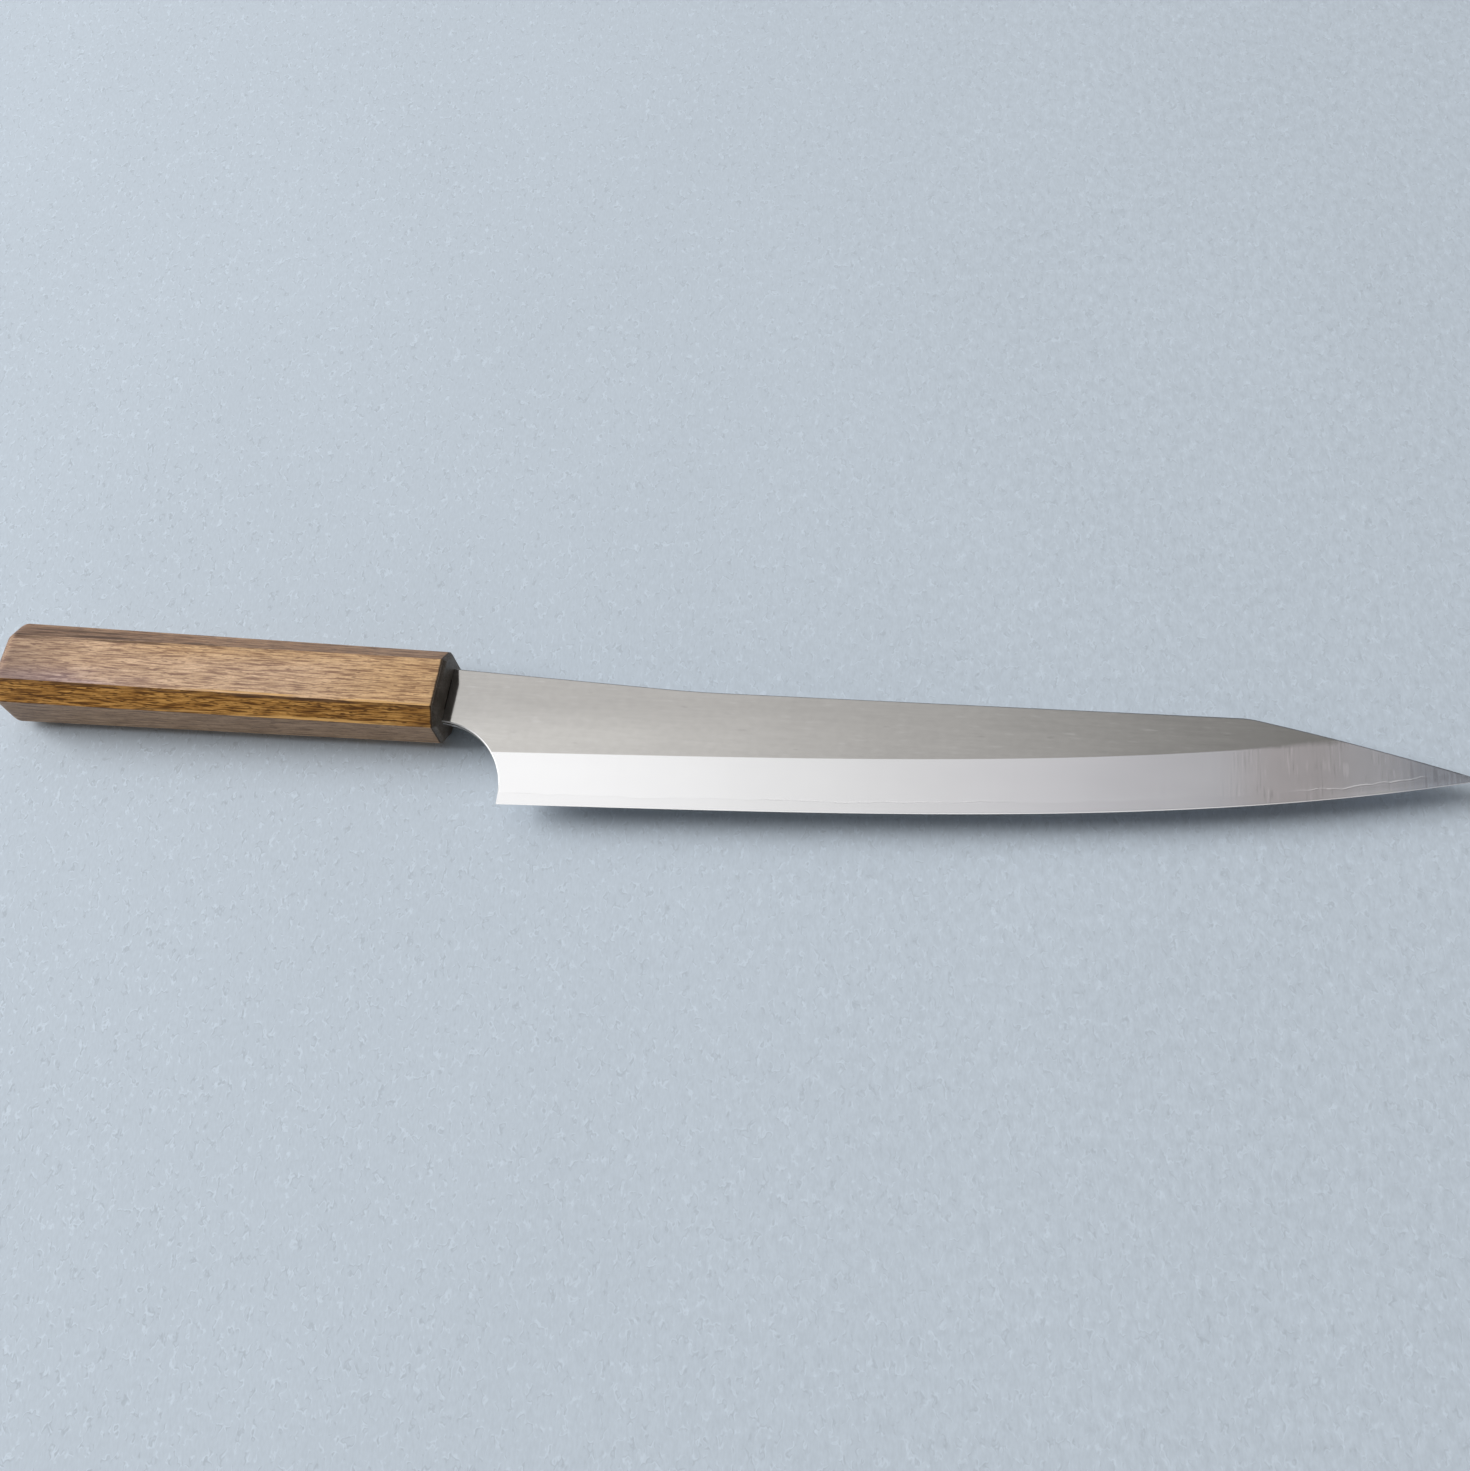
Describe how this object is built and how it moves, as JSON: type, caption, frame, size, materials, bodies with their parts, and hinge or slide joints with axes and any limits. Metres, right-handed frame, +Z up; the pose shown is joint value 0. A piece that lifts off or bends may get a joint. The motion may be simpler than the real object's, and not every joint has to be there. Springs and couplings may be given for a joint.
{
  "type": "sujihiki knife",
  "caption": "Long slicing knife with a laminated blade, a clipped point and an eight-sided wooden handle.",
  "frame": {"origin": "centre of the bounding box in plan, on the surface that the handle's lower flat lies on", "axes": "+X from the handle towards the tip, +Y towards the spine, +Z up through the blade's thickness"},
  "size_m": [0.43, 0.0468, 0.0202],
  "materials": {
    "core_steel": "hard core, ground across the edge",
    "cladding_steel": "satin flat brushed lengthwise, bright ground bevel",
    "oak": "oiled, open straight grain",
    "black_cap": "satin black",
    "bedding_resin": "dull black filler"
  },
  "bodies": {
    "root": {"blade_core": "core_steel", "cladding_show_side": "cladding_steel", "cladding_rear_side": "cladding_steel", "handle_wood": "oak", "front_cap": "black_cap", "tang_bedding": "bedding_resin"}
  },
  "joints": []
}
